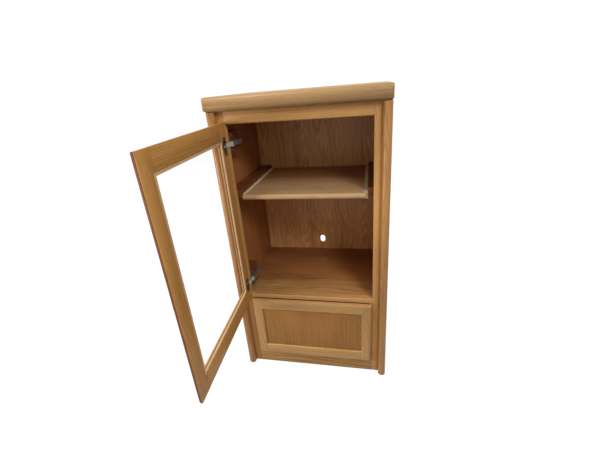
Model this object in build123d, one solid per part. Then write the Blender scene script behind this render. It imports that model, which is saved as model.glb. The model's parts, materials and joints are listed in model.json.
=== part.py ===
"""Oak stereo cabinet: glazed door, pull-out shelf on roller slides, fixed shelf and a drawer.

Millimetres, +Z up.  The cabinet is laid out with y = 0 on the front of its face frame,
-Y towards the room, and is moved at the end so that the origin is on the floor under the
middle of the base rail.
The door is drawn shut and then swung open on its hinge pins by door_open degrees.
"""
from build123d import *
import os

os.makedirs("parts", exist_ok=True)

# ------------------------------------------------------------------ carcass
opening_half = 228.0      # half the clear width between the face-frame stiles
stile_w = 23.0            # face-frame stile seen between the opening and the post
post_w = 27.0             # width of a corner post; its front is a full half round
post_proud = 22.0         # how far a post stands in front of the face frame
frame_t = 20.0            # thickness of the face frame
side_t = 16.0             # side panel
side_inset = 2.0          # side panel set in from the outer face of the post
back_t = 6.0              # back panel
inner_depth = 371.0       # from the back of the face frame to the back panel
base_rail_h = 66.0
mid_rail_h = 19.0
opening_bottom = 336.0    # top of the fixed shelf
body_h = 1003.0           # underside of the top moulding
top_rail_h = 39.0
panel_t = 19.0            # carcass top, bottom and fixed shelf
rail_round = 5.0          # round-over on the rails' front edges
cable_hole_w = 23.0
cable_hole_h = 36.0
cable_hole_z = 387.0

# ------------------------------------------------------------------ top
top_h = 44.0              # height of the front moulding
top_board_t = 22.0
top_over_side = 1.0       # overhang beyond the posts
top_over_front = 10.0     # overhang in front of the posts
top_over_back = 4.0
moulding_d = 30.0         # depth of the front moulding
side_moulding_w = 19.0
nose_low_r = 22.0         # lower and upper rounding of the nose
nose_high_r = 19.0
end_r = 9.0               # rounding of the nose's ends in plan
side_nose_r = 10.0        # lower and upper rounding of the top's sides and of the nose's ends
side_edge_r = 4.0

# ------------------------------------------------------------------ door
front_t = 14.0            # thickness of the door and the drawer front
front_gap = 2.0           # air between the face frame and a shut front
front_round = 10.0        # round-over around a front's outer edge
window_round = 3.0        # round-over around the door's window
door_side_lap = 3.0       # how far the shut door laps the opening: sides, top and bottom
door_top_lap = 8.0
door_low_lap = 15.0
door_stile_w = 49.0
door_rail_w = 59.0
door_open = 87.0          # degrees, as the door stands
rebate_w = 7.0
rebate_d = 8.0
glass_t = 3.0
glass_play = 0.5
bead_play = 0.2

# ------------------------------------------------------------------ hinges
hinge_end = 70.0          # hinge centre from the door's top and bottom edges
pin_from_edge = 1.25      # hinge pin, from the door's hinge-side edge
pin_from_face = 2.25      # hinge pin, from the door's inner face
pin_r = 1.5
pin_play = 0.05
eye_r = 3.5
cup_from_edge = 22.5
cup_r = 17.5
cup_d = 10.5
cup_wall = 1.2
cup_play = 0.1
flange_w = 24.0
flange_h = 56.0
flange_t = 1.1
cup_screw_pitch = 45.0
cup_screw_back = 8.0
cheek_in = 7.4            # height of a cheek's inner face above the hinge centre
cheek_t = 2.0
arm_half_h = 7.0          # half the height of the arm's front bar
arm_bar_t = 3.0
arm_stand_off = 1.1       # air between the bar and the stile
arm_w = 17.0              # channel of the arm, height and depth
arm_d = 12.0
arm_wall = 1.6
arm_len = 72.0
plate_t = 2.0
plate_len = 34.0
plate_h = 60.0
plate_w = 20.0
plate_set_back = 5.0      # behind the face frame
rib_h = 6.0
plate_screw_pitch = 46.0
wing_front = 6.0          # front edge of the wings, from the front of the plate
wing_w = 16.0
block_len = 76.0
block_h = 72.0

# ------------------------------------------------------------------ roller slides
slide_w = 12.5            # room for one slide beside a shelf or drawer
sheet = 1.2               # steel of the slides
channel_low = 4.5         # bottom of the channel below the load's bottom edge
flange_z = 15.3           # underside of the runner's flange above that edge
runner_reach = 9.0        # how far the runner's flange stands out
runner_foot = 11.0        # flange under the shelf or drawer side
channel_air = 0.3         # between the runner's flange and the channel
channel_lip = 3.0         # inner edge of the channel's lower flange, from the load's side
channel_top_lip = 6.5     # the same of its upper flange
roller_r = 9.0            # front roller, on the channel
rear_roller_r = 9.6       # rear roller, on the runner
roller_a = 2.2            # rollers lie between these two distances from the load's side
roller_b = 8.6
axle_r = 2.5
axle_play = 0.05
axle_head_r = 3.6
roller_from_end = 12.0
slide_set_back = 2.0      # channel behind the face frame
slide_back_gap = 3.0      # channel in front of the back panel
cleat_h = 29.0
cleat_up = 1.5            # bottom of the cleat above the load's bottom edge
cleat_set_back = 4.0
channel_screw_end = 52.0  # end screws of a channel, from its ends
runner_screw_front = 40.0
runner_screw_back = 50.0
screw_r = 1.6
screw_head_r = 3.4
screw_head_t = 1.5
screw_len = 14.0
hole_play = 0.05

# ------------------------------------------------------------------ pull-out shelf
shelf_side_gap = 22.0     # from the end of the lipping to the edge of the opening
lipping_over = 8.5        # the lipping stands this far beyond the board, over the slides
shelf_t = 18.0
shelf_top = 732.5
shelf_front = 3.0         # front edge, pushed in
shelf_back_gap = 11.0
lipping_d = 16.0
lipping_r = 8.5

# ------------------------------------------------------------------ drawer
drawer_front_in = 3.0     # the drawer front's side, in from the edge of the opening
drawer_front_low_lap = 10.0
drawer_front_high_lap = 1.0
drawer_stile_w = 37.0
drawer_rail_high_w = 43.0
drawer_rail_low_w = 47.0
drawer_panel_t = 6.0
drawer_panel_set = 6.5    # panel face behind the front's face
panel_round = 6.0         # round-over around the drawer's panel
drawer_play = 13.0        # from the drawer's side to the bead beside it
drawer_lift = 12.0        # drawer bottom edge above the base rail
drawer_headroom = 49.0
drawer_back_gap = 27.0
drawer_side_t = 12.0
drawer_bottom_t = 6.0
drawer_bottom_up = 8.0
groove_d = 4.0
bead_w = 12.0             # strip that closes the drawer opening in on each side
bead_r = 4.0

# ------------------------------------------------------------------ derived
opening_top = body_h - top_rail_h
post_in = opening_half + stile_w
post_out = post_in + post_w
side_out = post_out - side_inset
side_in = side_out - side_t
back_y = frame_t + inner_depth
rear_y = back_y + back_t
top_z = body_h + top_h
mid_rail_low = opening_bottom - mid_rail_h
front_y = -front_gap - front_t
door_half = opening_half + door_side_lap
door_bottom = opening_bottom - door_low_lap
door_top = opening_top + door_top_lap
pin_x = -door_half + pin_from_edge
pin_y = -front_gap - pin_from_face
hinge_zs = (door_top - hinge_end, door_bottom + hinge_end)
lipping_half = opening_half - shelf_side_gap
shelf_half = lipping_half - lipping_over
shelf_d = back_y - shelf_back_gap - shelf_front
drawer_front_half = opening_half - drawer_front_in
drawer_front_low = base_rail_h - drawer_front_low_lap
drawer_front_high = mid_rail_low + drawer_front_high_lap
drawer_half = opening_half - bead_w - drawer_play
drawer_low = base_rail_h + drawer_lift
drawer_box_h = mid_rail_low - drawer_headroom - drawer_low
drawer_box_d = back_y - drawer_back_gap + front_gap
channel_screw_up = flange_z / 2 - 1.6


def block(x0, x1, y0, y1, z0, z1):
    return Pos((x0 + x1) / 2, (y0 + y1) / 2, (z0 + z1) / 2) * Box(x1 - x0, y1 - y0, z1 - z0)


def rod(x, y, z, r, axis, length):
    """Cylinder from (x, y, z) along +axis ('x', 'y' or 'z') for a length that may be negative."""
    turn = {"x": Rot(0, 90, 0), "y": Rot(-90, 0, 0), "z": Rot(0, 0, 0)}[axis]
    start = (0, 0, min(0, length))
    low = (Align.CENTER, Align.CENTER, Align.MIN)
    return Pos(x, y, z) * turn * Pos(*start) * Cylinder(r, abs(length), align=low)


def other_side(shape):
    return mirror(shape, about=Plane.YZ)


def save(name, shape):
    moved = Pos(0, -frame_t / 2, 0) * shape
    solids = moved.solids()
    out = solids[0] if len(solids) == 1 else Compound(children=list(solids))
    export_step(out, f"parts/{name}.step")


def save_pair(name, shape):
    """A right-hand piece and its mirror image, as two nodes."""
    save(f"{name}_right", shape)
    save(f"{name}_left", other_side(shape))


# ------------------------------------------------------------------ carcass pieces
def build_carcass():
    save_pair("side_panel", block(side_in, side_out, frame_t, rear_y, 0, body_h))

    post = block(post_in, post_out, -post_proud, frame_t, 0, body_h)
    nose = post.edges().filter_by(Axis.Z).sort_by(Axis.Y)[:2]
    save_pair("post", fillet(nose, post_w / 2 - 0.02))

    save_pair("stile", block(opening_half, post_in, 0, frame_t, 0, body_h))

    top_rail = block(-opening_half, opening_half, 0, frame_t, opening_top, body_h)
    edge = top_rail.edges().filter_by(Axis.X).sort_by(Axis.Z)[:2].sort_by(Axis.Y)[:1]
    save("top_rail", fillet(edge, rail_round))

    mid = block(-opening_half, opening_half, 0, frame_t, mid_rail_low, opening_bottom)
    edges = mid.edges().filter_by(Axis.X).sort_by(Axis.Y)[:2]
    save("mid_rail", fillet(edges, rail_round))

    save("base_rail", block(-opening_half, opening_half, 0, frame_t, 0, base_rail_h))

    bead = block(opening_half - bead_w, opening_half, 0, frame_t, base_rail_h, mid_rail_low)
    edges = bead.edges().filter_by(Axis.Z).sort_by(Axis.Y)[:2]
    bead = fillet(edges, bead_r)
    save("drawer_opening_beads", bead + other_side(bead))

    save("bottom_panel", block(-side_in, side_in, frame_t, back_y, base_rail_h - panel_t, base_rail_h))
    save("fixed_shelf", block(-side_in, side_in, frame_t, back_y, opening_bottom - panel_t, opening_bottom))
    save("ceiling_panel", block(-side_in, side_in, frame_t, back_y, body_h - panel_t, body_h))

    hole = Pos(0, back_y - 1, cable_hole_z) * Rot(-90, 0, 0) * extrude(
        Rot(0, 0, 90) * SlotOverall(cable_hole_h, cable_hole_w), back_t + 2)
    save("back_panel", block(-side_in, side_in, back_y, rear_y, 0, top_z - top_board_t) - hole)

    for name, half, low in (("shelf", shelf_half, shelf_top - shelf_t), ("drawer", drawer_half, drawer_low)):
        z0 = low + cleat_up
        cleat = block(half + slide_w, side_in, frame_t + cleat_set_back, back_y, z0, z0 + cleat_h)
        for y in channel_screw_ys():
            cleat -= rod(half + slide_w, y, low + channel_screw_up, screw_r + hole_play, "x", screw_len)
        save(f"{name}_cleats", cleat + other_side(cleat))


def build_top():
    half = post_out + top_over_side
    y0 = -post_proud - top_over_front
    y1 = rear_y + top_over_back
    nose = block(-half, half, y0, y0 + moulding_d, body_h, top_z)
    front = nose.edges().filter_by(Axis.X).sort_by(Axis.Y)[:2].sort_by(Axis.Z)
    nose = fillet(front[0], nose_low_r)
    front = nose.edges().filter_by(Axis.X).sort_by(Axis.Z)[-2:].sort_by(Axis.Y)
    nose = fillet(front[0], nose_high_r)
    plan = block(-half, half, y0, y0 + moulding_d + end_r, body_h - 1, top_z + 1)
    plan = fillet(plan.edges().filter_by(Axis.Z).sort_by(Axis.Y)[:2], end_r)
    ends = block(-half, half, y0 - 1, y0 + moulding_d + 1, body_h, top_z)
    ends = fillet(ends.edges().filter_by(Axis.Y).sort_by(Axis.Z)[:2], side_nose_r)
    ends = fillet(ends.edges().filter_by(Axis.Y).sort_by(Axis.Z)[-2:], side_edge_r)
    save("top_front_moulding", nose & ends & plan)

    board = block(-half, half, y0 + moulding_d, y1, top_z - top_board_t, top_z)
    long_edges = board.edges().filter_by(Axis.Y).sort_by(Axis.Z)[-2:]
    save("top_board", fillet(long_edges, side_edge_r))

    strip = block(half - side_moulding_w, half, y0 + moulding_d, y1, body_h, top_z - top_board_t)
    low_edge = strip.edges().filter_by(Axis.Y).sort_by(Axis.Z)[:2].sort_by(Axis.X)[-1:]
    strip = fillet(low_edge, side_nose_r)
    save("top_side_mouldings", strip + other_side(strip))


# ------------------------------------------------------------------ framed fronts
def framed_front(half, z0, z1, stile_width, low_rail, high_rail, rebate, inner_round):
    """A shut front: rounded slab with a window and a rebate round the window's back."""
    slab = block(-half, half, front_y, -front_gap, z0, z1)
    slab = fillet(slab.faces().sort_by(Axis.Y)[0].edges(), front_round)
    window = (-half + stile_width, half - stile_width, z0 + low_rail, z1 - high_rail)
    slab -= block(window[0], window[1], front_y - 1, 0, window[2], window[3])
    inner = slab.faces().sort_by(Axis.Y)[0].inner_wires()[0].edges()
    slab = fillet(inner, inner_round)
    slab -= block(window[0] - rebate_w, window[1] + rebate_w, -front_gap - rebate, 0,
                  window[2] - rebate_w, window[3] + rebate_w)
    return slab, window


def split_front(slab, half, z0, z1, window):
    """Left stile, right stile, bottom rail and top rail, butted as cope-and-stick joints are."""
    left = slab & block(-half - 1, window[0], front_y - 1, 1, z0 - 1, z1 + 1)
    right = slab & block(window[1], half + 1, front_y - 1, 1, z0 - 1, z1 + 1)
    low = slab & block(window[0], window[1], front_y - 1, 1, z0 - 1, window[2] + 1)
    high = slab & block(window[0], window[1], front_y - 1, 1, window[3] - 1, z1 + 1)
    return left, right, low, high


def swing(shape):
    """Shut door to the open door."""
    return Pos(pin_x, pin_y, 0) * Rot(0, 0, -door_open) * Pos(-pin_x, -pin_y, 0) * shape


def build_door():
    slab, window = framed_front(door_half, door_bottom, door_top, door_stile_w, door_rail_w,
                                door_rail_w, rebate_d, window_round)
    hinge_stile, free_stile, low, high = split_front(slab, door_half, door_bottom, door_top, window)
    cup_x = -door_half + cup_from_edge
    for z in hinge_zs:
        hinge_stile -= rod(cup_x, -front_gap, z, cup_r + cup_play, "y", -(cup_d + cup_play))
        notch = cheek_in + cheek_t + 0.4
        hinge_stile -= block(-door_half - 1, cup_x, pin_y - eye_r - 1.2, 0, z - notch, z + notch)
        for sign in (-1, 1):
            zs = z + sign * cup_screw_pitch / 2
            hinge_stile -= rod(cup_x + cup_screw_back, -front_gap, zs, screw_r + hole_play, "y", -screw_len)
    save("door_hinge_stile", swing(hinge_stile))
    save("door_free_stile", swing(free_stile))
    save("door_bottom_rail", swing(low))
    save("door_top_rail", swing(high))

    y0 = -front_gap - rebate_d
    reach = rebate_w - glass_play
    glass = block(window[0] - reach, window[1] + reach, y0, y0 + glass_t,
                  window[2] - reach, window[3] + reach)
    save("door_glass", swing(glass))

    reach = rebate_w - bead_play
    low_z, high_z = window[2] - reach, window[3] + reach
    beads = []
    for x0, x1 in ((window[0] - reach, window[0]), (window[1], window[1] + reach)):
        beads.append(block(x0, x1, y0 + glass_t, -front_gap, low_z, high_z))
    for z0, z1 in ((low_z, window[2]), (window[3], high_z)):
        beads.append(block(window[0], window[1], y0 + glass_t, -front_gap, z0, z1))
    save("door_glass_beads", swing(beads[0] + beads[1] + beads[2] + beads[3]))
    return cup_x


# ------------------------------------------------------------------ hinges
def hinge_cup(z, cup_x):
    """Pressed cup with its flange, two cheeks and the pin they hold."""
    cup = rod(cup_x, -front_gap, z, cup_r, "y", -cup_d)
    flange = block(cup_x - flange_w / 2 + 1, cup_x + flange_w / 2 + 1, -front_gap, -front_gap + flange_t,
                   z - flange_h / 2, z + flange_h / 2)
    flange = fillet(flange.edges().filter_by(Axis.Y), 7.0)
    cup += flange
    cup -= rod(cup_x, 0, z, cup_r - cup_wall, "y", -(front_gap + cup_d - cup_wall))
    slot_z = cheek_in - 0.1
    cup -= block(pin_x - 6, pin_x + 9, pin_y - 8, 1, z - slot_z, z + slot_z)
    for sign in (-1, 1):
        zc = z + sign * (cheek_in + cheek_t / 2)
        zs = z + sign * cup_screw_pitch / 2
        plate = block(pin_x, cup_x - 8, pin_y - 3.2, pin_y + 2.0, zc - cheek_t / 2, zc + cheek_t / 2)
        plate += rod(pin_x, pin_y, zc - cheek_t / 2, 3.2, "z", cheek_t)
        cup += plate
        cup -= rod(cup_x + cup_screw_back, 0, zs, screw_r + hole_play, "y", -(front_gap + 1))
    height = 2 * (cheek_in + cheek_t)
    return cup + rod(pin_x, pin_y, z - height / 2, pin_r, "z", height)


def hinge_arm(z):
    """Arm that stays on the cabinet: eye on the pin, flat bar, then a channel on its plate."""
    bar_x = -opening_half + arm_stand_off
    plate_y = frame_t + plate_set_back
    eye = rod(pin_x, pin_y, z - arm_half_h, eye_r, "z", 2 * arm_half_h)
    bar = block(bar_x, bar_x + arm_bar_t, pin_y - 1.8, plate_y - 0.5, z - arm_half_h, z + arm_half_h)
    web_x = -opening_half + plate_t
    body = block(web_x, web_x + arm_d, plate_y - 4, plate_y - 4 + arm_len, z - arm_w / 2, z + arm_w / 2)
    body = fillet(body.edges().filter_by(Axis.Y).sort_by(Axis.X)[-2:], 2.5)
    body = fillet(body.edges().sort_by(Axis.Y)[-4:].filter_by(Axis.Z).sort_by(Axis.X)[-1:], 5.0)
    body -= block(web_x - 1, web_x + arm_d - arm_wall, plate_y + arm_bar_t, plate_y - 4 + arm_len + 1,
                  z - arm_w / 2 + arm_wall, z + arm_w / 2 - arm_wall)
    arm = eye + bar + body
    return arm - rod(pin_x, pin_y, z - arm_half_h - 1, pin_r + pin_play, "z", 2 * arm_half_h + 2)


def hinge_plate(z):
    """Wing plate under the arm: a raised rib inside the arm's channel and two screwed wings."""
    y0 = frame_t + plate_set_back
    x0 = -opening_half
    body = block(x0, x0 + plate_t, y0, y0 + plate_len, z - plate_w / 2, z + plate_w / 2)
    wings = block(x0, x0 + plate_t, y0 + wing_front, y0 + wing_front + wing_w,
                  z - plate_h / 2, z + plate_h / 2)
    wings = fillet(wings.edges().filter_by(Axis.X), 7.5)
    half = arm_w / 2 - arm_wall - 0.2
    rib = block(x0, x0 + plate_t + rib_h, y0 + wing_front, y0 + plate_len, z - half, z + half)
    plate = body + wings + rib
    for sign in (-1, 1):
        zs = z + sign * plate_screw_pitch / 2
        plate -= rod(x0 - 1, y0 + wing_front + wing_w / 2, zs, screw_r + hole_play, "x", plate_t + 2)
    return plate


def pan_screw(x, y, z, axis, into):
    """Screw lying against a face at (x, y, z); its shank runs along `into` (+1 or -1) of the axis."""
    shank = rod(x, y, z, screw_r, axis, into * (screw_len - 1))
    head = rod(x, y, z, screw_head_r, axis, -into * screw_head_t)
    rim = head.edges().filter_by(GeomType.CIRCLE)
    key = {"x": Axis.X, "y": Axis.Y, "z": Axis.Z}[axis]
    outer = rim.sort_by(key)[0] if into > 0 else rim.sort_by(key)[-1]
    return shank + chamfer(outer, screw_head_t * 0.4)


def build_hinges(cup_x):
    cups, arms, plates, blocks, plate_screws, cup_screws = [], [], [], [], [], []
    for z in hinge_zs:
        cups.append(hinge_cup(z, cup_x))
        arms.append(hinge_arm(z))
        plates.append(hinge_plate(z))
        y0 = frame_t + plate_set_back
        wood = block(-side_in, -opening_half, frame_t, frame_t + block_len, z - block_h / 2, z + block_h / 2)
        for sign in (-1, 1):
            zs = z + sign * plate_screw_pitch / 2
            ys = y0 + wing_front + wing_w / 2
            wood -= rod(-opening_half, ys, zs, screw_r + hole_play, "x", -screw_len)
            plate_screws.append(pan_screw(-opening_half + plate_t, ys, zs, "x", -1))
            zs = z + sign * cup_screw_pitch / 2
            cup_screws.append(pan_screw(cup_x + cup_screw_back, -front_gap + flange_t, zs, "y", -1))
        blocks.append(wood)
    save("hinge_cups", swing(cups[0] + cups[1]))
    save("hinge_arms", arms[0] + arms[1])
    save("hinge_plates", plates[0] + plates[1])
    save("hinge_blocks", blocks[0] + blocks[1])
    save("hinge_plate_screws", sum(plate_screws[1:], plate_screws[0]))
    save("hinge_cup_screws", swing(sum(cup_screws[1:], cup_screws[0])))


# ------------------------------------------------------------------ roller slides
def channel_screw_ys():
    y0, y1 = frame_t + slide_set_back, back_y - slide_back_gap
    return (y0 + channel_screw_end, (y0 + y1) / 2, y1 - channel_screw_end)


def channel(half, low):
    """Cabinet member of a right-hand slide: C channel with the front roller's axle."""
    y0, y1 = frame_t + slide_set_back, back_y - slide_back_gap
    x1 = half + slide_w
    z0 = low - channel_low
    z1 = low + flange_z + sheet + channel_air + sheet
    piece = block(x1 - sheet, x1, y0, y1, z0, z1)
    piece += block(half + channel_lip, x1, y0, y1, z0, z0 + sheet)
    piece += block(half + channel_top_lip, x1, y0, y1, z1 - sheet, z1)
    zr = low + flange_z - channel_air - roller_r
    yr = y0 + roller_from_end
    piece += rod(half + roller_b + 0.1, yr, zr, axle_r + 1.5, "x", slide_w - sheet - roller_b)
    piece += rod(half + roller_a - 0.05, yr, zr, axle_r, "x", slide_w - roller_a)
    piece += rod(half + roller_a - 0.65, yr, zr, axle_head_r, "x", 0.6)
    for y in channel_screw_ys():
        piece -= rod(x1 - sheet - 1, y, low + channel_screw_up, screw_r + hole_play, "x", sheet + 2)
    return piece


def runner(half, low, y0, y1):
    """Moving member of a right-hand slide, with the rear roller's axle at its back end."""
    piece = block(half, half + sheet, y0, y1, low - sheet, low + flange_z + sheet)
    piece += block(half - runner_foot, half + sheet, y0, y1, low - sheet, low)
    flange_end = y1 - 2 * roller_from_end - 2
    piece += block(half, half + runner_reach, y0, flange_end, low + flange_z, low + flange_z + sheet)
    zr, yr = rear_roller_z(low), y1 - roller_from_end
    piece += rod(half + 0.5, yr, zr, axle_r, "x", roller_b - 0.4)
    piece += rod(half + roller_b + 0.05, yr, zr, axle_head_r, "x", 0.6)
    piece += rod(half + 0.5, yr, zr, axle_r + 1.5, "x", roller_a - 0.6)
    for y in runner_screw_ys(y0, y1):
        piece -= rod(half - runner_foot / 2, y, low + 1, screw_r + hole_play, "z", -(sheet + 2))
    return piece


def runner_screw_ys(y0, y1):
    return (y0 + runner_screw_front, (y0 + y1) / 2, y1 - runner_screw_back)


def front_roller_place():
    return frame_t + slide_set_back + roller_from_end


def rear_roller_z(low):
    bottom = low - channel_low + sheet
    ceiling = low + flange_z + sheet + channel_air
    return (bottom + ceiling) / 2


def roller(half, y, z, r):
    """Nylon roller: a crowned wheel turned on its own axle hole."""
    w = roller_b - roller_a
    profile = Polyline((0, axle_r + axle_play), (0, r - 0.8), (0.8, r), (w - 0.8, r), (w, r - 0.8),
                       (w, axle_r + axle_play), close=True)
    wheel = revolve(make_face(Plane.XY * profile), Axis.X)
    return Pos(half + roller_a, y, z) * wheel


def build_slides():
    screws, feet = [], {}
    for name, half, low, y0, depth in (
            ("shelf", shelf_half, shelf_top - shelf_t, shelf_front + lipping_d, shelf_d - lipping_d),
            ("drawer", drawer_half, drawer_low, -front_gap + drawer_side_t, drawer_box_d - drawer_side_t)):
        y1 = y0 + depth
        member = channel(half, low)
        save(f"{name}_channels", member + other_side(member))
        save_pair(f"{name}_runner", runner(half, low, y0, y1))
        zf = low + flange_z - channel_air - roller_r
        save_pair(f"{name}_front_roller", roller(half, front_roller_place(), zf, roller_r))
        yr, zr = y1 - roller_from_end, rear_roller_z(low)
        save_pair(f"{name}_rear_roller", roller(half, yr, zr, rear_roller_r))
        for y in channel_screw_ys():
            one = pan_screw(half + slide_w - sheet, y, low + channel_screw_up, "x", 1)
            screws += [one, other_side(one)]
        feet[name] = []
        for y in runner_screw_ys(y0, y1):
            one = pan_screw(half - runner_foot / 2, y, low - sheet, "z", 1)
            feet[name] += [one, other_side(one)]
    save("channel_screws", sum(screws[1:], screws[0]))
    for name, group in feet.items():
        save(f"{name}_runner_screws", sum(group[1:], group[0]))


def drill_runner_holes(piece, half, low, y0, y1, sides):
    for y in runner_screw_ys(y0, y1):
        for side in sides:
            piece -= rod(side * (half - runner_foot / 2), y, low, screw_r + hole_play, "z", screw_len)
    return piece


# ------------------------------------------------------------------ pull-out shelf
def build_shelf():
    low = shelf_top - shelf_t
    y0, y1 = shelf_front + lipping_d, shelf_front + shelf_d
    board = block(-shelf_half, shelf_half, y0, y1, low, shelf_top)
    save("pullout_shelf", drill_runner_holes(board, shelf_half, low, y0, y1, (-1, 1)))
    lip = block(-lipping_half, lipping_half, shelf_front, y0, low, shelf_top)
    lip = fillet(lip.edges().filter_by(Axis.X).sort_by(Axis.Y)[:2], lipping_r)
    save("pullout_shelf_lipping", lip)


# ------------------------------------------------------------------ drawer
def build_drawer():
    rebate = front_t - drawer_panel_set
    slab, window = framed_front(drawer_front_half, drawer_front_low, drawer_front_high, drawer_stile_w,
                                drawer_rail_low_w, drawer_rail_high_w, rebate, panel_round)
    left, right, low_rail, high_rail = split_front(slab, drawer_front_half, drawer_front_low,
                                                   drawer_front_high, window)
    save("drawer_front_stile_left", left)
    save("drawer_front_stile_right", right)
    save("drawer_front_bottom_rail", low_rail)
    save("drawer_front_top_rail", high_rail)
    reach = rebate_w - glass_play
    y0 = front_y + drawer_panel_set
    save("drawer_front_panel", block(window[0] - reach, window[1] + reach, y0, y0 + drawer_panel_t,
                                     window[2] - reach, window[3] + reach))

    y0, y1 = -front_gap, -front_gap + drawer_box_d
    z0, z1 = drawer_low, drawer_low + drawer_box_h
    inner = drawer_half - drawer_side_t
    zb = z0 + drawer_bottom_up
    side = block(inner, drawer_half, y0 + drawer_side_t, y1, z0, z1)
    side -= block(inner - 1, inner + groove_d, y0, y1 - drawer_side_t, zb, zb + drawer_bottom_t)
    side = drill_runner_holes(side, drawer_half, z0, y0 + drawer_side_t, y1, (1,))
    save_pair("drawer_side", side)
    box_front = block(-drawer_half, drawer_half, y0, y0 + drawer_side_t, z0, z1)
    box_front -= block(-inner - groove_d, inner + groove_d, y0 + drawer_side_t - groove_d, y1, zb,
                       zb + drawer_bottom_t)
    save("drawer_box_front", box_front)
    save("drawer_box_back", block(-inner, inner, y1 - drawer_side_t, y1, zb + drawer_bottom_t, z1))
    save("drawer_bottom", block(-inner - groove_d, inner + groove_d, y0 + drawer_side_t - groove_d,
                                y1 - drawer_side_t, zb, zb + drawer_bottom_t))


build_carcass()
build_top()
build_hinges(build_door())
build_slides()
build_shelf()
build_drawer()
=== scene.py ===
"""Looks for an oak audio cabinet: woods, glass, hinge and slide finishes, softened arrises and screws."""
import json
import math

import bpy
from bpy.props import FloatProperty, FloatVectorProperty, PointerProperty
from mathutils import Matrix, Vector


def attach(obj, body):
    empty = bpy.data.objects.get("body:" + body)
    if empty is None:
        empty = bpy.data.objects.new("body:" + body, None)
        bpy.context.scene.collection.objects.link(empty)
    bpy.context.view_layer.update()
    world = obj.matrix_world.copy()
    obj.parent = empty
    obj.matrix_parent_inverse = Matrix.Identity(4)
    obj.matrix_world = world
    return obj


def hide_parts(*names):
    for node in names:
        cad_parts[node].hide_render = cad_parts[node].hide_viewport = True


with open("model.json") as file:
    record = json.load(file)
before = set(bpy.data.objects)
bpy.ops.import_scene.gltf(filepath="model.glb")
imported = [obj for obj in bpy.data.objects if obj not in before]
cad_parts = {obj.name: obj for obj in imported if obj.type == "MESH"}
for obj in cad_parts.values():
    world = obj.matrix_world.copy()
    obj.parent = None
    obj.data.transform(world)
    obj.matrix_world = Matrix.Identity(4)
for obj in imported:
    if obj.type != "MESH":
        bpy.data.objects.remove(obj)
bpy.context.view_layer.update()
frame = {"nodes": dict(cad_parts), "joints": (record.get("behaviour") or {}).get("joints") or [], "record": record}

bl_info = {
    "name": "Glazed Oak Cabinet",
    "version": (1, 0, 0),
    "blender": (4, 5, 0),
    "location": "View3D > Sidebar > Cabinet",
    "description": "Dresses an oak audio cabinet with its woods, glass, hinges, slides and screws",
    "category": "Object",
}

BODY_OF = {node: body for body, nodes in frame["record"]["behaviour"]["bodies"].items() for node in nodes}
HINGE = next(joint for joint in frame["joints"] if joint["name"] == "door_hinge")
RIGHT, BACK, UP = Vector((1, 0, 0)), Vector((0, 1, 0)), Vector((0, 0, 1))

# ------------------------------------------------------------------ boards, in metres and radians
DOOR_OPEN = math.radians(-HINGE["range_deg"][0])        # how far the door stands open at rest
ARRIS_ANGLE = math.radians(35.0)        # edges sharper than this are eased
SMOOTH_ANGLE = math.radians(30.0)       # faces that meet more flatly than this are shaded as one
FLAT_ANGLE = math.radians(1.0)          # and than this are made one
WELD = 0.00002                          # corners nearer than this are made one
LEFT_SHARP = ("mid_rail", "drawer_front_top_rail")      # eased, they would widen the gap over the drawer
BOARD_SHIFTS = ((0.137, 0.71), (0.219, 0.53), (0.173, 0.67))    # step and span, to set boards apart
RING_TONES = ((0.0, 0.25), (0.12, 0.0), (0.45, 0.55), (0.85, 1.0), (1.0, 0.25))     # place in a ring, tone
WARMER = (0.97, 0.86, 0.74)             # red, green and blue of a warm patch, of the light colour

# ------------------------------------------------------------------ fittings, in metres and radians
ARM_SLOT = (0.006, 0.011, 0.0052)       # slot through an arm's web: across the web, along, up
ARM_SLOT_BACK = 0.036                   # its middle, from the arm's rear end
ARM_SCREW_BACKS = (0.053, 0.019)        # the same of the two adjusting screws
SCREW_SUNK = 0.0001                     # how far their heads go into the web
SCREW_TIP = 0.0002                      # corners within this of a screw's end are its tip or its head
SCREW_STEP = 0.7                        # how much further each screw is turned than the last
HEAD_SHARE = 0.8                        # the far end is the head if it is wider than this share of the near
RECESS_SPAN, RECESS_HEIGHT = 4.5, 2.2   # block that cuts one slot of a cross recess, in slot widths

# ------------------------------------------------------------------ stage
CAMERA_PLACE = (0.21733, -1.00214, 1.05974)
CAMERA_TURNS = (13.12, 23.08, -4.84)    # degrees turned to the left, tipped down and rolled
SENSOR_WIDTH = 36.0                     # mm
FOCAL_SHARE = 327.61 / 600              # focal length as a share of the sensor's width
LAMPS = {"key": {"place": (-2.4, -0.4, 5.6), "aim": (0.0, -0.1, 0.7), "size": (2.2, 2.2)},
         "side": {"place": (-2.0, -1.3, 0.75), "aim": (0.1, 0.0, 0.6), "size": (0.5, 1.2)},
         "fill": {"place": (1.6, -2.3, 2.9), "aim": (0.0, 0.0, 0.7), "size": (1.2, 1.2)}}
SKY_SEEN = 1.02                         # brightness of the sky and floor where the eye meets them,
FLOOR_SEEN = 0.93                       # by itself, in glass or in a polish
FLOOR_GREY = 0.16                       # what the floor sends back of the lamps' light
FLOOR_DROP = 0.0005                     # keeps the floor clear of the ends of the posts


# ------------------------------------------------------------------ colours and sizes
def srgb(r, g, b):
    """8-bit display colour as the linear colour that Blender stores."""
    def line(c):
        c /= 255
        return c / 12.92 if c <= 0.04045 else ((c + 0.055) / 1.055) ** 2.4
    return (line(r), line(g), line(b))


def colour(name, description, default):
    return FloatVectorProperty(name=name, description=description, default=default, subtype="COLOR",
                               size=3, min=0, max=1)


def length(name, description, default):
    return FloatProperty(name=name, description=description, default=default, min=0, unit="LENGTH",
                         precision=5)


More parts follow.
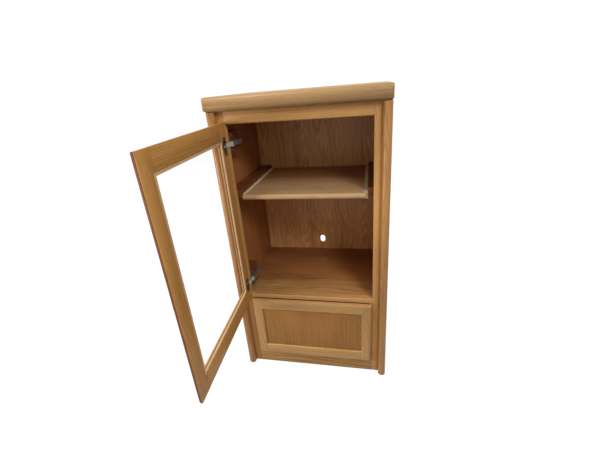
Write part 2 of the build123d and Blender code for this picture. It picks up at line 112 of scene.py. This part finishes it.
def power(name, description, default):
    return FloatProperty(name=name, description=description, default=default, min=0, unit="POWER")


class CabinetWoods(bpy.types.PropertyGroup):
    oak_light: colour("Oak, light", "Late wood of the lacquered oak fronts", srgb(206, 160, 102))
    oak_dark: colour("Oak, dark", "Early wood and pores of the lacquered oak fronts", srgb(156, 106, 53))
    shelf_light: colour("Shelf, light", "Late wood of the pull-out shelf", srgb(214, 180, 136))
    shelf_dark: colour("Shelf, dark", "Early wood of the pull-out shelf", srgb(184, 142, 97))
    # Painted shade: darker colours for the rear of the pull-out shelf, where it reaches into the shade of the
    # cabinet.
    deep_light: colour("Shelf's rear, light", "Late wood of its shaded rear part", srgb(172, 127, 86))
    deep_dark: colour("Shelf's rear, dark", "Early wood of its shaded rear part", srgb(148, 99, 60))
    panel_light: colour("Drawer panel, light", "Late wood of the drawer's panel", srgb(186, 134, 76))
    panel_dark: colour("Drawer panel, dark", "Early wood of the drawer's panel", srgb(142, 94, 44))
    front_light: colour("Drawer frame, light", "Late wood of the drawer's frame", srgb(213, 168, 110))
    front_dark: colour("Drawer frame, dark", "Early wood of the drawer's frame", srgb(163, 114, 61))
    # Partly painted light: paler colours for the stiles and upper rails, standing in for light on them.
    rail_light: colour("Rails, light", "Late wood of the stiles and upper rails", srgb(226, 176, 112))
    rail_dark: colour("Rails, dark", "Early wood of the stiles and upper rails", srgb(178, 124, 66))
    mould_light: colour("Moulding, light", "Late wood of the moulding along the top", srgb(192, 156, 108))
    mould_dark: colour("Moulding, dark", "Early wood of the moulding along the top", srgb(142, 105, 62))
    post_light: colour("Posts, light", "Late wood of the half-round posts", srgb(204, 152, 88))
    post_dark: colour("Posts, dark", "Early wood and pores of the posts", srgb(152, 96, 40))
    door_light: colour("Door, light", "Late wood of the door's stiles and rails", srgb(216, 164, 96))
    door_dark: colour("Door, dark", "Early wood of the door's stiles and rails", srgb(166, 110, 50))
    # Painted shade, not a stain: darker, redder colours for the rounded outer part of the door's free edge, which
    # turns away from the light.
    edge_light: colour("Door edge, light", "Light figure of the door's stained edge", srgb(132, 74, 38))
    edge_dark: colour("Door edge, dark", "Dark figure of the door's stained edge", srgb(112, 58, 28))
    # Partly painted highlight: paler colours for the beads round the pane, standing in for light caught on their
    # edges.
    bead_light: colour("Beads, light", "Late wood of the beads round the pane", srgb(236, 200, 156))
    bead_dark: colour("Beads, dark", "Early wood of the beads round the pane", srgb(206, 164, 116))
    # Painted shade: the fixed shelf's darker, redder colours stand for the shade inside the cabinet.
    low_light: colour("Fixed shelf, light", "Light figure of the fixed shelf", srgb(190, 134, 80))
    low_dark: colour("Fixed shelf, dark", "Dark figure of the fixed shelf", srgb(122, 68, 34))
    # Painted light: paler colours along the fixed shelf's front, where the light falls.
    low_front_light: colour("Faded shelf, light", "Light figure along its front", srgb(214, 166, 105))
    low_front_dark: colour("Faded shelf, dark", "Dark figure along its front", srgb(138, 86, 46))
    # Darker, redder colours for the boards inside the cabinet and the inner faces of the sides.
    inside_light: colour("Inside, light", "Light figure of the stained boards inside", srgb(186, 128, 76))
    inside_dark: colour("Inside, dark", "Dark figure of the stained boards inside", srgb(144, 88, 48))
    # Painted shade: dark colours for the hinge blocks and cleats, which sit in the shade inside the cabinet.
    block_light: colour("Blocks, light", "Light figure of hinge blocks and cleats", srgb(136, 80, 46))
    block_dark: colour("Blocks, dark", "Dark figure of hinge blocks and cleats", srgb(104, 56, 30))
    # Partly painted light: paler colours for the back panel, standing in for light it catches.
    back_light: colour("Back, light", "Light figure of the back panel", srgb(236, 184, 122))
    back_dark: colour("Back, dark", "Dark figure of the back panel", srgb(188, 130, 78))
    box_light: colour("Drawer box, light", "Light figure of the plain drawer box", srgb(208, 176, 132))
    box_dark: colour("Drawer box, dark", "Dark figure of the plain drawer box", srgb(176, 138, 94))
    ring: length("Growth ring", "Distance from one growth ring to the next", 0.0052)
    arris: length("Arris", "How far the sharp edges of the boards are eased", 0.0007)


class CabinetFittings(bpy.types.PropertyGroup):
    nickel: colour("Nickel", "Plating of the hinge arms and screws", srgb(166, 161, 147))
    dulled: colour("Dulled nickel", "Plating of the cups and wing plates", srgb(120, 112, 98))
    cream: colour("Cream", "Powder coat of the slides", srgb(240, 230, 204))
    nylon: colour("Nylon", "Rollers of the slides", srgb(232, 228, 214))
    glass: colour("Glass", "Tint of the door's pane", srgb(236, 243, 238))
    screw_radius: length("Screw head", "Radius of a pan head", 0.0034)
    screw_height: length("Screw head height", "Height of a pan head", 0.0015)
    screw_rim: length("Screw head's rim", "Rounding of a pan head's rim", 0.0005)
    recess: length("Cross recess", "Width of one slot of the cross recess", 0.0008)


class CabinetStage(bpy.types.PropertyGroup):
    key_power: power("Key light", "Power of the lamp overhead", 152)
    side_power: power("Side light", "Power of the lamp on the left", 20)
    fill_power: power("Fill light", "Power of the lamp in front", 48)
    sky: FloatProperty(name="Sky", description="Strength of the even light from all round", default=0.45,
                       min=0)
    floor_size: length("Floor", "Half the width of the floor", 4.0)


def shades(wood):
    """Light and dark colour of a wood, called by what its properties start with."""
    woods = bpy.context.scene.cabinet_woods
    return tuple(getattr(woods, wood + "_light")), tuple(getattr(woods, wood + "_dark"))


def toned(shade, shares):
    """A colour with its red, green and blue scaled."""
    return tuple(channel * share for channel, share in zip(shade, shares))


# ------------------------------------------------------------------ node writing
class Value:
    """A socket that takes part in Python expressions; each operator adds a Math node."""

    def __init__(self, tree, socket):
        self.tree, self.socket = tree, socket

    def _math(self, operation, first, second):
        node = self.tree.nodes.new("ShaderNodeMath")
        node.operation = operation
        for slot, value in zip(node.inputs, (first, second)):
            if isinstance(value, Value):
                self.tree.links.new(value.socket, slot)
            else:
                slot.default_value = value
        return Value(self.tree, node.outputs[0])

    def __add__(self, other):
        return self._math("ADD", self, other)

    def __radd__(self, other):
        return self._math("ADD", other, self)

    def __sub__(self, other):
        return self._math("SUBTRACT", self, other)

    def __rsub__(self, other):
        return self._math("SUBTRACT", other, self)

    def __mul__(self, other):
        return self._math("MULTIPLY", self, other)

    def __rmul__(self, other):
        return self._math("MULTIPLY", other, self)

    def __truediv__(self, other):
        return self._math("DIVIDE", self, other)

    def __rtruediv__(self, other):
        return self._math("DIVIDE", other, self)

    def __pow__(self, other):
        return self._math("POWER", self, other)

    def __rpow__(self, other):
        return self._math("POWER", other, self)


class Nodes:
    """A node tree, written afresh."""

    def __init__(self, tree):
        self.tree = tree
        self.tree.nodes.clear()

    def node(self, kind, settings=None, sockets=None, out=0):
        """Adds a node of a kind, sets it, then fills its sockets with values or links.

        Gives back the output that out counts or names, or all of them where out is a tuple.
        """
        made = self.tree.nodes.new("ShaderNode" + kind)
        for key, value in (settings or {}).items():
            if key == "stops":
                ramp = made.color_ramp
                while len(ramp.elements) < len(value):
                    ramp.elements.new(0.5)
                for stop, (place, grey) in zip(ramp.elements, value):
                    stop.position, stop.color = place, (grey, grey, grey, 1)
            else:
                setattr(made, key, value)
        for key, value in (sockets or {}).items():
            if isinstance(value, Value):
                self.tree.links.new(value.socket, made.inputs[key])
            else:
                made.inputs[key].default_value = value
        if isinstance(out, tuple):
            return tuple(Value(self.tree, made.outputs[each]) for each in out)
        return Value(self.tree, made.outputs[out])

    def place(self):
        """Object coordinates."""
        return self.node("TexCoord", {}, {}, "Object")

    def noise(self, vector, scale, detail):
        return self.node("TexNoise", {}, {"Vector": vector, "Scale": scale, "Detail": detail})

    def mix(self, factor, first, second):
        """Colour mix; first and second are colours or links."""
        sockets = {0: factor}
        for slot, value in ((6, first), (7, second)):
            sockets[slot] = value if isinstance(value, Value) else (*value, 1)
        return self.node("Mix", {"data_type": "RGBA"}, sockets, 2)

    def clamp(self, value):
        return self.node("Clamp", {}, {0: value})

    def above(self, value, level, steepness):
        """0 up to a level, then rising to 1."""
        return self.clamp((value - level) * steepness)

    def bump(self, height, strength, distance):
        return self.node("Bump", {}, {"Height": height, "Strength": strength, "Distance": distance})

    def seen_by_eye(self):
        """1 for camera, mirror and glass rays, else 0."""
        kinds = ("Is Camera Ray", "Is Glossy Ray", "Is Transmission Ray")
        camera, mirror, glass = self.node("LightPath", {}, {}, kinds)
        return self.clamp(camera + mirror + glass)


class Finish(Nodes):
    """One material and the nodes that make it."""
    sockets = {"base": "Base Color", "roughness": "Roughness", "metallic": "Metallic", "alpha": "Alpha",
               "coat": "Coat Weight", "coat_roughness": "Coat Roughness", "coat_ior": "Coat IOR",
               "specular": "Specular IOR Level", "ior": "IOR", "normal": "Normal"}

    def __init__(self, name):
        self.material = bpy.data.materials.new(name)
        self.material.use_nodes = True
        super().__init__(self.material.node_tree)

    def surface(self, **values):
        filled = {self.sockets[key]: value for key, value in values.items()}
        return self.close(self.node("BsdfPrincipled", {}, filled))

    def close(self, shader):
        self.node("OutputMaterial", {}, {"Surface": shader}, ())
        return self.material


# ------------------------------------------------------------------ finishes
def oak(name, wood, grain, seed, turn=0.0, gloss=0.36, coat=0.05, coat_blur=0.28, pores=1.0, figure=1.0,
        ring=None, wander=1.0, skin=None):
    """Plain-sawn oak: curved growth rings, short dark pores and slow changes of tone along the grain.

    A skin is the name of another wood, and the limits within which the piece has its colours.
    """
    light, dark = shades(wood)
    ring = ring or bpy.context.scene.cabinet_woods.ring
    f = Finish(name)
    apart = [step * seed % span for step, span in BOARD_SHIFTS]
    place = f.node("Mapping", {"vector_type": "POINT"},
                   {"Vector": f.place(), "Rotation": (0, 0, turn), "Location": apart})
    order = {"X": ("X", "Z", "Y"), "Y": ("Y", "X", "Z"), "Z": ("Z", "X", "Y")}[grain]
    along, across, depth = f.node("SeparateXYZ", {}, {0: place}, order)

    def noise(wide, long, detail):
        """Noise that changes about so many times a metre across the grain and along it."""
        stretched = f.node("CombineXYZ", {}, {0: across * wide, 1: depth * wide, 2: along * long})
        return f.noise(stretched, 1.0, detail)

    drift = noise(9.0, 1.5, 2.0) - 0.5
    ripple = noise(60.0, 5.0, 2.0) - 0.5
    heart_aside = 0.03 * math.sin(seed * 2.1)
    heart_below = 0.045 + 0.02 * math.cos(seed)
    aside = across + heart_aside + drift * 0.07
    below = depth + heart_below + along * 0.05
    from_heart = (aside * aside + below * below) ** 0.5
    rings = from_heart / ring + drift * (5.0 * wander) + ripple * (1.1 * wander)
    phase = f.node("Math", {"operation": "FRACT"}, {0: rings})
    early = f.node("ValToRGB", {"stops": RING_TONES}, {0: phase})
    streak = noise(150.0, 4.0, 3.0)
    patch = noise(11.0, 2.5, 2.0)
    pore = f.above(noise(950.0, 42.0, 1.0), 0.56, 9.0) * f.clamp(1.25 - early * 1.1)
    tone = f.clamp(0.5 + (early - 0.55) * (0.3 * figure) + (streak - 0.5) * 0.9 + (patch - 0.5) * 0.8)
    base = f.mix(tone, dark, light)
    base = f.mix(f.above(patch, 0.45, 2.2), base, toned(light, WARMER))
    if skin:
        skin_wood, limits = skin
        skin_light, skin_dark = shades(skin_wood)
        within = 1.0
        for out, reach, fade in limits:
            at = f.node("VectorMath", {"operation": "DOT_PRODUCT"}, {0: f.place(), 1: out}, "Value")
            within = f.clamp((at - reach) / fade) * within
        base = f.mix(within, base, f.mix(tone, skin_dark, skin_light))
    base = f.mix(pore * (0.4 * pores), base, toned(dark, (0.42,) * 3))
    height = early * 0.25 - pore + streak * 0.25
    return f.surface(base=base, roughness=f.clamp(gloss + (1 - tone) * 0.1 + pore * 0.2), coat=coat,
                     coat_roughness=coat_blur, coat_ior=2.5, specular=0.05,
                     normal=f.bump(height, 0.22, 0.0005))


def plated_steel(name, shade, gloss=0.42):
    """Bright plating with faint drawing marks and dulled patches."""
    f = Finish(name)
    place = f.place()
    marks = f.noise(place, 420.0, 2.0)
    dull = f.noise(place, 60.0, 3.0)
    base = f.mix(f.above(dull, 0.4, 2.0), toned(shade, (0.72,) * 3), shade)
    roughness = f.clamp(gloss + (dull - 0.5) * 0.3 + (marks - 0.5) * 0.1)
    return f.surface(base=base, metallic=0.7, roughness=roughness, normal=f.bump(marks, 0.08, 0.0002))


def powder_coat(name, shade):
    """Cream powder coat: fine orange peel, with grease and dust in the low places."""
    f = Finish(name)
    place = f.place()
    peel = f.noise(place, 900.0, 2.0)
    grime = f.noise(place, 28.0, 4.0)
    base = f.mix(f.above(grime, 0.5, 1.6), shade, toned(shade, (0.8, 0.76, 0.66)))
    return f.surface(base=base, roughness=f.clamp(0.32 + grime * 0.2), normal=f.bump(peel, 0.12, 0.0002))


def moulded_nylon(name, shade):
    """Off-white nylon, slightly waxy, with rubbed places."""
    f = Finish(name)
    cloud = f.noise(f.place(), 140.0, 3.0)
    base = f.mix(f.above(cloud, 0.45, 2.0), shade, toned(shade, (0.84,) * 3))
    return f.surface(base=base, roughness=f.clamp(0.38 + (cloud - 0.5) * 0.3),
                     normal=f.bump(cloud, 0.1, 0.0002))


def float_glass(name, shade):
    """Clear pane that lets the light by, with the faintest bloom of handling."""
    f = Finish(name)
    bloom = f.noise(f.place(), 9.0, 4.0)
    return f.surface(base=(*shade, 1), roughness=f.clamp(0.02 + (bloom - 0.45) * 0.12), ior=1.5,
                     alpha=f.clamp(0.035 + (bloom - 0.5) * 0.03))


# ------------------------------------------------------------------ shared tools
def only(*objects):
    """Object mode, with just these objects selected and the last one active."""
    if bpy.context.object and bpy.context.object.mode != "OBJECT":
        bpy.ops.object.mode_set(mode="OBJECT")
    bpy.ops.object.select_all(action="DESELECT")
    for item in objects:
        item.select_set(True)
        bpy.context.view_layer.objects.active = item


def dress(nodes, material):
    """Gives CAD nodes a finish, their shape being right already."""
    for node in nodes:
        slots = frame["nodes"][node].data.materials
        slots.clear()
        slots.append(material)


def stand_in(node, ending):
    """A welded copy of a CAD piece, to be worked on and to stand for it."""
    piece = bpy.data.objects.new(node + "_" + ending, frame["nodes"][node].data.copy())
    bpy.context.scene.collection.objects.link(piece)
    only(piece)
    bpy.ops.object.mode_set(mode="EDIT")
    bpy.ops.mesh.select_all(action="SELECT")
    bpy.ops.mesh.remove_doubles(threshold=WELD)
    bpy.ops.mesh.dissolve_limited(angle_limit=FLAT_ANGLE)
    bpy.ops.object.mode_set(mode="OBJECT")
    return piece


def settle(piece, node, material):
    """Gives a stand-in its finish, body and slot, and puts it in the CAD piece's place."""
    only(piece)
    bpy.ops.object.shade_smooth_by_angle(angle=SMOOTH_ANGLE)
    piece.data.materials.clear()
    piece.data.materials.append(material)
    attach(piece, BODY_OF[node])
    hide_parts(node)


def board(node, material):
    """Finishes a board, and eases its arrises unless it is to stay sharp."""
    if node in LEFT_SHARP:
        dress([node], material)
        return
    piece = stand_in(node, "eased")
    edge = piece.modifiers.new("arris", "BEVEL")
    edge.width, edge.segments = bpy.context.scene.cabinet_woods.arris, 2
    edge.limit_method, edge.angle_limit = "ANGLE", ARRIS_ANGLE
    edge.use_clamp_overlap = True
    bpy.ops.object.modifier_apply(modifier=edge.name)
    settle(piece, node, material)


def shells(mesh):
    """Corner points of each separate shell of a mesh."""
    leader = list(range(len(mesh.vertices)))

    def root(i):
        while leader[i] != i:
            leader[i] = leader[leader[i]]
            i = leader[i]
        return i

    for edge in mesh.edges:
        first, second = (root(i) for i in edge.vertices)
        leader[first] = second
    found = {}
    for vertex in mesh.vertices:
        found.setdefault(root(vertex.index), []).append(vertex.co.copy())
    return list(found.values())


def block(middle, size, turned=(0, 0, 0)):
    bpy.ops.mesh.primitive_cube_add(size=1, location=middle, rotation=turned, scale=size)
    return bpy.context.object


def cut(piece, cutters):
    """Takes separate blocks away from a piece."""
    only(*cutters)
    if len(cutters) > 1:
        bpy.ops.object.join()
    cutter = bpy.context.object
    only(piece)
    hole = piece.modifiers.new("hole", "BOOLEAN")
    hole.operation, hole.object, hole.solver = "DIFFERENCE", cutter, "EXACT"
    bpy.ops.object.modifier_apply(modifier=hole.name)
    bpy.data.objects.remove(cutter)


def head_of(screw, axis):
    """Middle of a screw's head, which is the wider of its ends along the axis."""
    reach = [corner.dot(axis) for corner in screw]
    ends = []
    for limit in (min(reach), max(reach)):
        end = [corner for corner, at in zip(screw, reach) if abs(at - limit) < SCREW_TIP]
        middle = sum(end, Vector()) / len(end)
        ends.append((max((corner - middle).length for corner in end), middle))
    (near_radius, near), (far_radius, far) = ends
    return far if far_radius > HEAD_SHARE * near_radius else near


def recess(screws, axis):
    """Cuts a cross recess into the head of each screw of a piece; the shanks run along the axis."""
    slot = bpy.context.scene.cabinet_fittings.recess
    heads = [head_of(screw, axis) for screw in shells(screws.data)]
    for quarter in (0, math.pi / 2):
        arms = []
        for number, head in enumerate(heads):
            spin = Matrix.Rotation(SCREW_STEP * number + quarter, 3, "Z")
            turned = axis.to_track_quat("Z", "Y").to_matrix() @ spin
            arms.append(block(head, (RECESS_SPAN * slot, slot, RECESS_HEIGHT * slot), turned.to_euler()))
        cut(screws, arms)


def beyond(node, out, depth, fade=0.0015):
    """Limit a depth below a piece's outermost plane in a direction, and how softly it comes in."""
    outermost = max(vertex.co.dot(out) for vertex in frame["nodes"][node].data.vertices)
    return out, outermost - depth, fade


# ------------------------------------------------------------------ operators
class CABINET_OT_face_frame(bpy.types.Operator):
    """Half-round posts, stiles and rails of the face frame"""
    bl_idname = "cabinet.face_frame"
    bl_label = "Face frame"

    def execute(self, context):
        polished = {"coat": 0.15, "coat_blur": 0.2}
        boards = (("post_left", "post", "Z", polished), ("post_right", "post", "Z", polished),
                  ("stile_left", "rail", "Z", {}), ("stile_right", "rail", "Z", {}),
                  ("top_rail", "rail", "X", {}),
                  ("mid_rail", "rail", "X", {"coat": 0.14, "coat_blur": 0.2}),
                  ("base_rail", "oak", "X", {"figure": 1.8, "pores": 1.7, "ring": 0.008}),
                  ("drawer_opening_beads", "oak", "Z", {}))
        for seed, (node, wood, grain, more) in enumerate(boards, 1):
            board(node, oak("oak_" + node, wood, grain, seed, **more))
        return {"FINISHED"}


class CABINET_OT_top(bpy.types.Operator):
    """Bullnose front moulding, top board and the mouldings under its sides"""
    bl_idname = "cabinet.top"
    bl_label = "Top"

    def execute(self, context):
        board("top_front_moulding", oak("oak_top_moulding", "mould", "X", 11, coat=0.08))
        board("top_board", oak("oak_top_board", "oak", "X", 12, gloss=0.3))
        board("top_side_mouldings", oak("oak_side_mouldings", "oak", "Y", 13))
        return {"FINISHED"}


class CABINET_OT_carcass(bpy.types.Operator):
    """Side panels, shelves, back panel, cleats and hinge blocks"""
    bl_idname = "cabinet.carcass"
    bl_label = "Carcass"

    def execute(self, context):
        boards = (("side_panel_left", "Z", -RIGHT), ("side_panel_right", "Z", RIGHT),
                  ("bottom_panel", "X", None), ("ceiling_panel", "X", None))
        for seed, (node, grain, out) in enumerate(boards, 21):
            # The outer 2 mm of each side panel keeps the oak colours; the rest has the darker inside colours.
            skin = out and ("oak", [beyond(node, out, 0.002)])
            board(node, oak("stained_" + node, "inside", grain, seed, gloss=0.42, ring=0.007, skin=skin))
        # Painted light: from 0.14 m behind the fixed shelf's front edge its colours fade, over 0.09 m, to the
        # paler low_front colours.
        lit_front_of_shelf = ("low_front", [beyond("fixed_shelf", -BACK, 0.14, 0.09)])
        board("fixed_shelf", oak("oak_fixed_shelf", "low", "X", 25, ring=0.008, pores=0.8, skin=lit_front_of_shelf))
        # Painted shade: the block colours darken the cleats and hinge blocks.
        dress(["shelf_cleats", "drawer_cleats"], oak("stained_cleats", "block", "Y", 27))
        dress(["hinge_blocks"], oak("stained_blocks", "block", "Z", 28))
        dress(["back_panel"], oak("oak_back_panel", "back", "Z", 31, gloss=0.5, coat=0.1, ring=0.012,
                                  figure=1.9, wander=2.4))
        return {"FINISHED"}


class CABINET_OT_door(bpy.types.Operator):
    """Door stiles and rails, the pane and the beads that hold it"""
    bl_idname = "cabinet.door"
    bl_label = "Door"

    def execute(self, context):
        opened = Matrix.Rotation(-DOOR_OPEN, 3, "Z")
        # Painted shade: the edge colours cover the last 4 mm of the free stile towards its free end, within 12 mm
        # of the door's front face.
        edge = ("edge", [beyond("door_free_stile", opened @ RIGHT, 0.004),
                         beyond("door_free_stile", opened @ -BACK, 0.012)])
        turn = {"turn": DOOR_OPEN}
        dress(["door_hinge_stile"], oak("oak_hinge_stile", "door", "Z", 41, **turn))
        board("door_free_stile", oak("oak_free_stile", "door", "Z", 42, skin=edge, **turn))
        board("door_top_rail", oak("oak_door_top_rail", "door", "X", 43, **turn))
        board("door_bottom_rail", oak("oak_door_bottom_rail", "door", "X", 44, **turn))
        dress(["door_glass_beads"], oak("pale_beads", "bead", "Z", 45, **turn))
        dress(["door_glass"], float_glass("pane", context.scene.cabinet_fittings.glass))
        return {"FINISHED"}


class CABINET_OT_drawer(bpy.types.Operator):
    """Framed drawer front, its panel and the box behind it"""
    bl_idname = "cabinet.drawer"
    bl_label = "Drawer"

    def execute(self, context):
        boards = (("drawer_front_stile_left", "Z"), ("drawer_front_stile_right", "Z"),
                  ("drawer_front_top_rail", "X"), ("drawer_front_bottom_rail", "X"))
        for seed, (node, grain) in enumerate(boards, 51):
            board(node, oak("oak_" + node, "front", grain, seed, coat=0.1, coat_blur=0.2))
        board("drawer_front_panel", oak("oak_drawer_panel", "panel", "Z", 57))
        plain = {"coat": 0.0, "gloss": 0.5, "pores": 0.3}
        dress(["drawer_side_left", "drawer_side_right"], oak("plain_sides", "box", "Y", 61, **plain))
        dress(["drawer_box_front", "drawer_box_back"], oak("plain_ends", "box", "X", 62, **plain))
        dress(["drawer_bottom"], oak("plain_bottom", "box", "X", 63, **plain))
        return {"FINISHED"}


class CABINET_OT_pullout_shelf(bpy.types.Operator):
    """Pull-out shelf and the rounded lipping along its front"""
    bl_idname = "cabinet.pullout_shelf"
    bl_label = "Pull-out shelf"

    def execute(self, context):
        # Painted shade: from 0.26 m in front of the shelf's back edge its colours fade, over 0.11 m, to the darker
        # deep colours.
        shaded = ("deep", [beyond("pullout_shelf", BACK, 0.26, 0.11)])
        dress(["pullout_shelf"], oak("oak_shelf_board", "shelf", "X", 71, ring=0.009, skin=shaded))
        board("pullout_shelf_lipping", oak("oak_shelf_lipping", "shelf", "X", 72))
        return {"FINISHED"}


class CABINET_OT_slides(bpy.types.Operator):
    """Channels, runners and rollers of the slides"""
    bl_idname = "cabinet.slides"
    bl_label = "Roller slides"

    def execute(self, context):
        fittings = context.scene.cabinet_fittings
        cream = powder_coat("cream_coat", fittings.cream)
        nylon = moulded_nylon("nylon", fittings.nylon)
        for unit in ("shelf", "drawer"):
            dress([unit + "_channels", unit + "_runner_left", unit + "_runner_right"], cream)
            for end in ("front", "rear"):
                dress([f"{unit}_{end}_roller_left", f"{unit}_{end}_roller_right"], nylon)
        return {"FINISHED"}


class CABINET_OT_hinges(bpy.types.Operator):
    """Cups, arms and wing plates of the hinges, and all the screws"""
    bl_idname = "cabinet.hinges"
    bl_label = "Hinges and screws"

    def execute(self, context):
        fittings = context.scene.cabinet_fittings
        nickel = plated_steel("nickel_plate", fittings.nickel)
        dress(["hinge_cups", "hinge_plates"], plated_steel("dulled_plate", fittings.dulled))
        self.arms(fittings, nickel)
        door_back = Matrix.Rotation(-DOOR_OPEN, 3, "Z") @ BACK
        for node, axis in (("hinge_cup_screws", door_back), ("hinge_plate_screws", RIGHT),
                           ("channel_screws", RIGHT), ("shelf_runner_screws", UP),
                           ("drawer_runner_screws", UP)):
            screws = stand_in(node, "recessed")
            recess(screws, axis)
            settle(screws, node, nickel)
        return {"FINISHED"}

    def arms(self, fittings, nickel):
        """Arms with a slot through the web, and the two adjusting screws on each."""
        arms = stand_in("hinge_arms", "slotted")
        heads, slots = [], []
        for arm in shells(arms.data):
            web, rear = max(corner.x for corner in arm), max(corner.y for corner in arm)
            z = (min(corner.z for corner in arm) + max(corner.z for corner in arm)) / 2
            slots.append(block((web, rear - ARM_SLOT_BACK, z), ARM_SLOT))
            for back in ARM_SCREW_BACKS:
                place = (web + fittings.screw_height / 2 - SCREW_SUNK, rear - back, z)
                bpy.ops.mesh.primitive_cylinder_add(vertices=32, radius=fittings.screw_radius,
                                                    depth=fittings.screw_height, location=place,
                                                    rotation=(0, math.pi / 2, 0))
                heads.append(bpy.context.object)
        cut(arms, slots)
        settle(arms, "hinge_arms", nickel)
        only(*heads)
        bpy.ops.object.join()
        screws = bpy.context.object
        screws.name = "hinge_adjusting_screws"
        bpy.ops.object.transform_apply(location=True, rotation=True, scale=True)
        rim = screws.modifiers.new("rim", "BEVEL")
        rim.width, rim.segments = fittings.screw_rim, 2
        bpy.ops.object.modifier_apply(modifier=rim.name)
        recess(screws, RIGHT)
        screws.data.materials.append(nickel)
        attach(screws, "cabinet")


class CABINET_OT_stage(bpy.types.Operator):
    """Camera, lamps, even sky and white floor"""
    bl_idname = "cabinet.stage"
    bl_label = "Stage"

    def execute(self, context):
        settings = context.scene.cabinet_stage
        context.scene.view_settings.view_transform = "Standard"
        self.camera(context.scene)
        for name, layout in LAMPS.items():
            self.lamp(context.scene, name + "_lamp", getattr(settings, name + "_power"), **layout)
        self.sky(context.scene, settings.sky)
        self.floor(settings.floor_size)
        return {"FINISHED"}

    def camera(self, scene):
        yaw, pitch, roll = (math.radians(turn) for turn in CAMERA_TURNS)
        ahead = Vector((-math.sin(yaw) * math.cos(pitch), math.cos(yaw) * math.cos(pitch), -math.sin(pitch)))
        level = Vector((math.cos(yaw), math.sin(yaw), 0))
        upright = level.cross(ahead)
        right = math.cos(roll) * level + math.sin(roll) * upright
        up = math.cos(roll) * upright - math.sin(roll) * level
        data = bpy.data.cameras.new("camera")
        data.sensor_width, data.lens = SENSOR_WIDTH, SENSOR_WIDTH * FOCAL_SHARE
        camera = bpy.data.objects.new("camera", data)
        turned = Matrix((right, up, -ahead)).transposed().to_4x4()
        camera.matrix_world = Matrix.Translation(CAMERA_PLACE) @ turned
        scene.collection.objects.link(camera)
        scene.camera = camera

    def lamp(self, scene, name, energy, place, aim, size):
        data = bpy.data.lights.new(name, "AREA")
        data.shape, data.energy = "ELLIPSE", energy
        data.size, data.size_y = size
        lamp = bpy.data.objects.new(name, data)
        turned = (Vector(aim) - Vector(place)).to_track_quat("-Z", "Y").to_matrix().to_4x4()
        lamp.matrix_world = Matrix.Translation(place) @ turned
        scene.collection.objects.link(lamp)

    def sky(self, scene, strength):
        """Even light, with a white sky wherever the eye meets it."""
        world = scene.world or bpy.data.worlds.new("world")
        scene.world = world
        world.use_nodes = True
        nodes = Nodes(world.node_tree)
        glow = nodes.seen_by_eye() * (SKY_SEEN - strength) + strength
        back = nodes.node("Background", {}, {"Color": (1, 1, 1, 1), "Strength": glow})
        nodes.node("OutputWorld", {}, {"Surface": back}, ())

    def floor(self, half_width):
        """White floor, which glows where the eye meets it."""
        only()
        bpy.ops.mesh.primitive_plane_add(size=2 * half_width, location=(0, 0, -FLOOR_DROP))
        floor = bpy.context.object
        floor.name = "floor"
        bpy.ops.object.transform_apply(location=True)
        f = Finish("white_floor")
        matt = f.node("BsdfDiffuse", {}, {"Color": (FLOOR_GREY, FLOOR_GREY, FLOOR_GREY, 1)})
        glow = f.node("Emission", {}, {"Color": (1, 1, 1, 1), "Strength": f.seen_by_eye() * FLOOR_SEEN})
        floor.data.materials.append(f.close(f.node("AddShader", {}, {0: matt, 1: glow})))


class CABINET_PT_panel(bpy.types.Panel):
    """The cabinet's pieces, sizes and colours"""
    bl_idname = "CABINET_PT_panel"
    bl_label = "Glazed Oak Cabinet"
    bl_space_type = "VIEW_3D"
    bl_region_type = "UI"
    bl_category = "Cabinet"

    def draw(self, context):
        for name, group in GROUPS:
            box = self.layout.box()
            for setting in group.__annotations__:
                box.prop(getattr(context.scene, name), setting)
        for step in STEPS:
            self.layout.operator(step.bl_idname)


GROUPS = (("cabinet_woods", CabinetWoods), ("cabinet_fittings", CabinetFittings),
          ("cabinet_stage", CabinetStage))
STEPS = (CABINET_OT_stage, CABINET_OT_face_frame, CABINET_OT_top, CABINET_OT_carcass, CABINET_OT_door,
         CABINET_OT_drawer, CABINET_OT_pullout_shelf, CABINET_OT_slides, CABINET_OT_hinges)


def register():
    for name, group in GROUPS:
        bpy.utils.register_class(group)
        setattr(bpy.types.Scene, name, PointerProperty(type=group))
    for item in (*STEPS, CABINET_PT_panel):
        bpy.utils.register_class(item)


def unregister():
    for item in reversed((*STEPS, CABINET_PT_panel)):
        bpy.utils.unregister_class(item)
    for name, group in reversed(GROUPS):
        delattr(bpy.types.Scene, name)
        bpy.utils.unregister_class(group)


def main():
    register()
    for step in STEPS:
        area, name = step.bl_idname.split(".")
        getattr(getattr(bpy.ops, area), name)()


if __name__ == "__main__":
    main()
